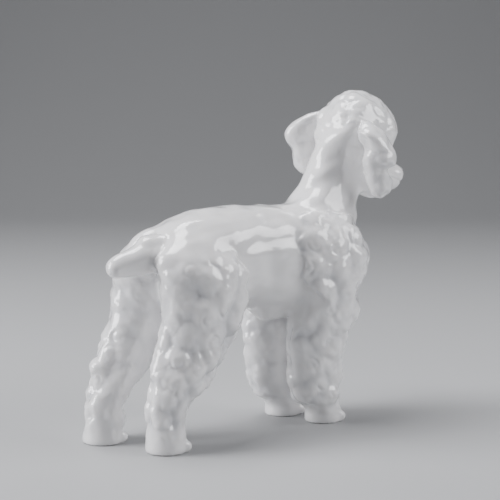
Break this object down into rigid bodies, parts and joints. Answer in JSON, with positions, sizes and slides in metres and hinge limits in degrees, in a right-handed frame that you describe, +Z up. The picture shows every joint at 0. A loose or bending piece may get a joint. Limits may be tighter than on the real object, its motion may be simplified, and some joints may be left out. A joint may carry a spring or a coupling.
{
  "type": "ceramic dog figurine",
  "caption": "Standing poodle figurine in white glazed porcelain, with curled trousers and mantle, a round topknot, hanging ears and a docked tail.",
  "frame": {"origin": "on the ground, under the middle of the figure's outline seen from above; the paws stand at Z = 0", "axes": "+X towards the muzzle, +Y towards the dog's left, +Z up"},
  "size_m": [0.203, 0.0714, 0.1793],
  "materials": {
    "glazed_porcelain": "clear glossy glaze over white porcelain; the undersides of the paws are bare and matt"
  },
  "bodies": {
    "root": {"trunk": "glazed_porcelain", "neck": "glazed_porcelain", "head": "glazed_porcelain", "left_ear": "glazed_porcelain", "right_ear": "glazed_porcelain", "left_foreleg": "glazed_porcelain", "right_foreleg": "glazed_porcelain", "left_hind_leg": "glazed_porcelain", "right_hind_leg": "glazed_porcelain", "tail": "glazed_porcelain"}
  },
  "joints": []
}
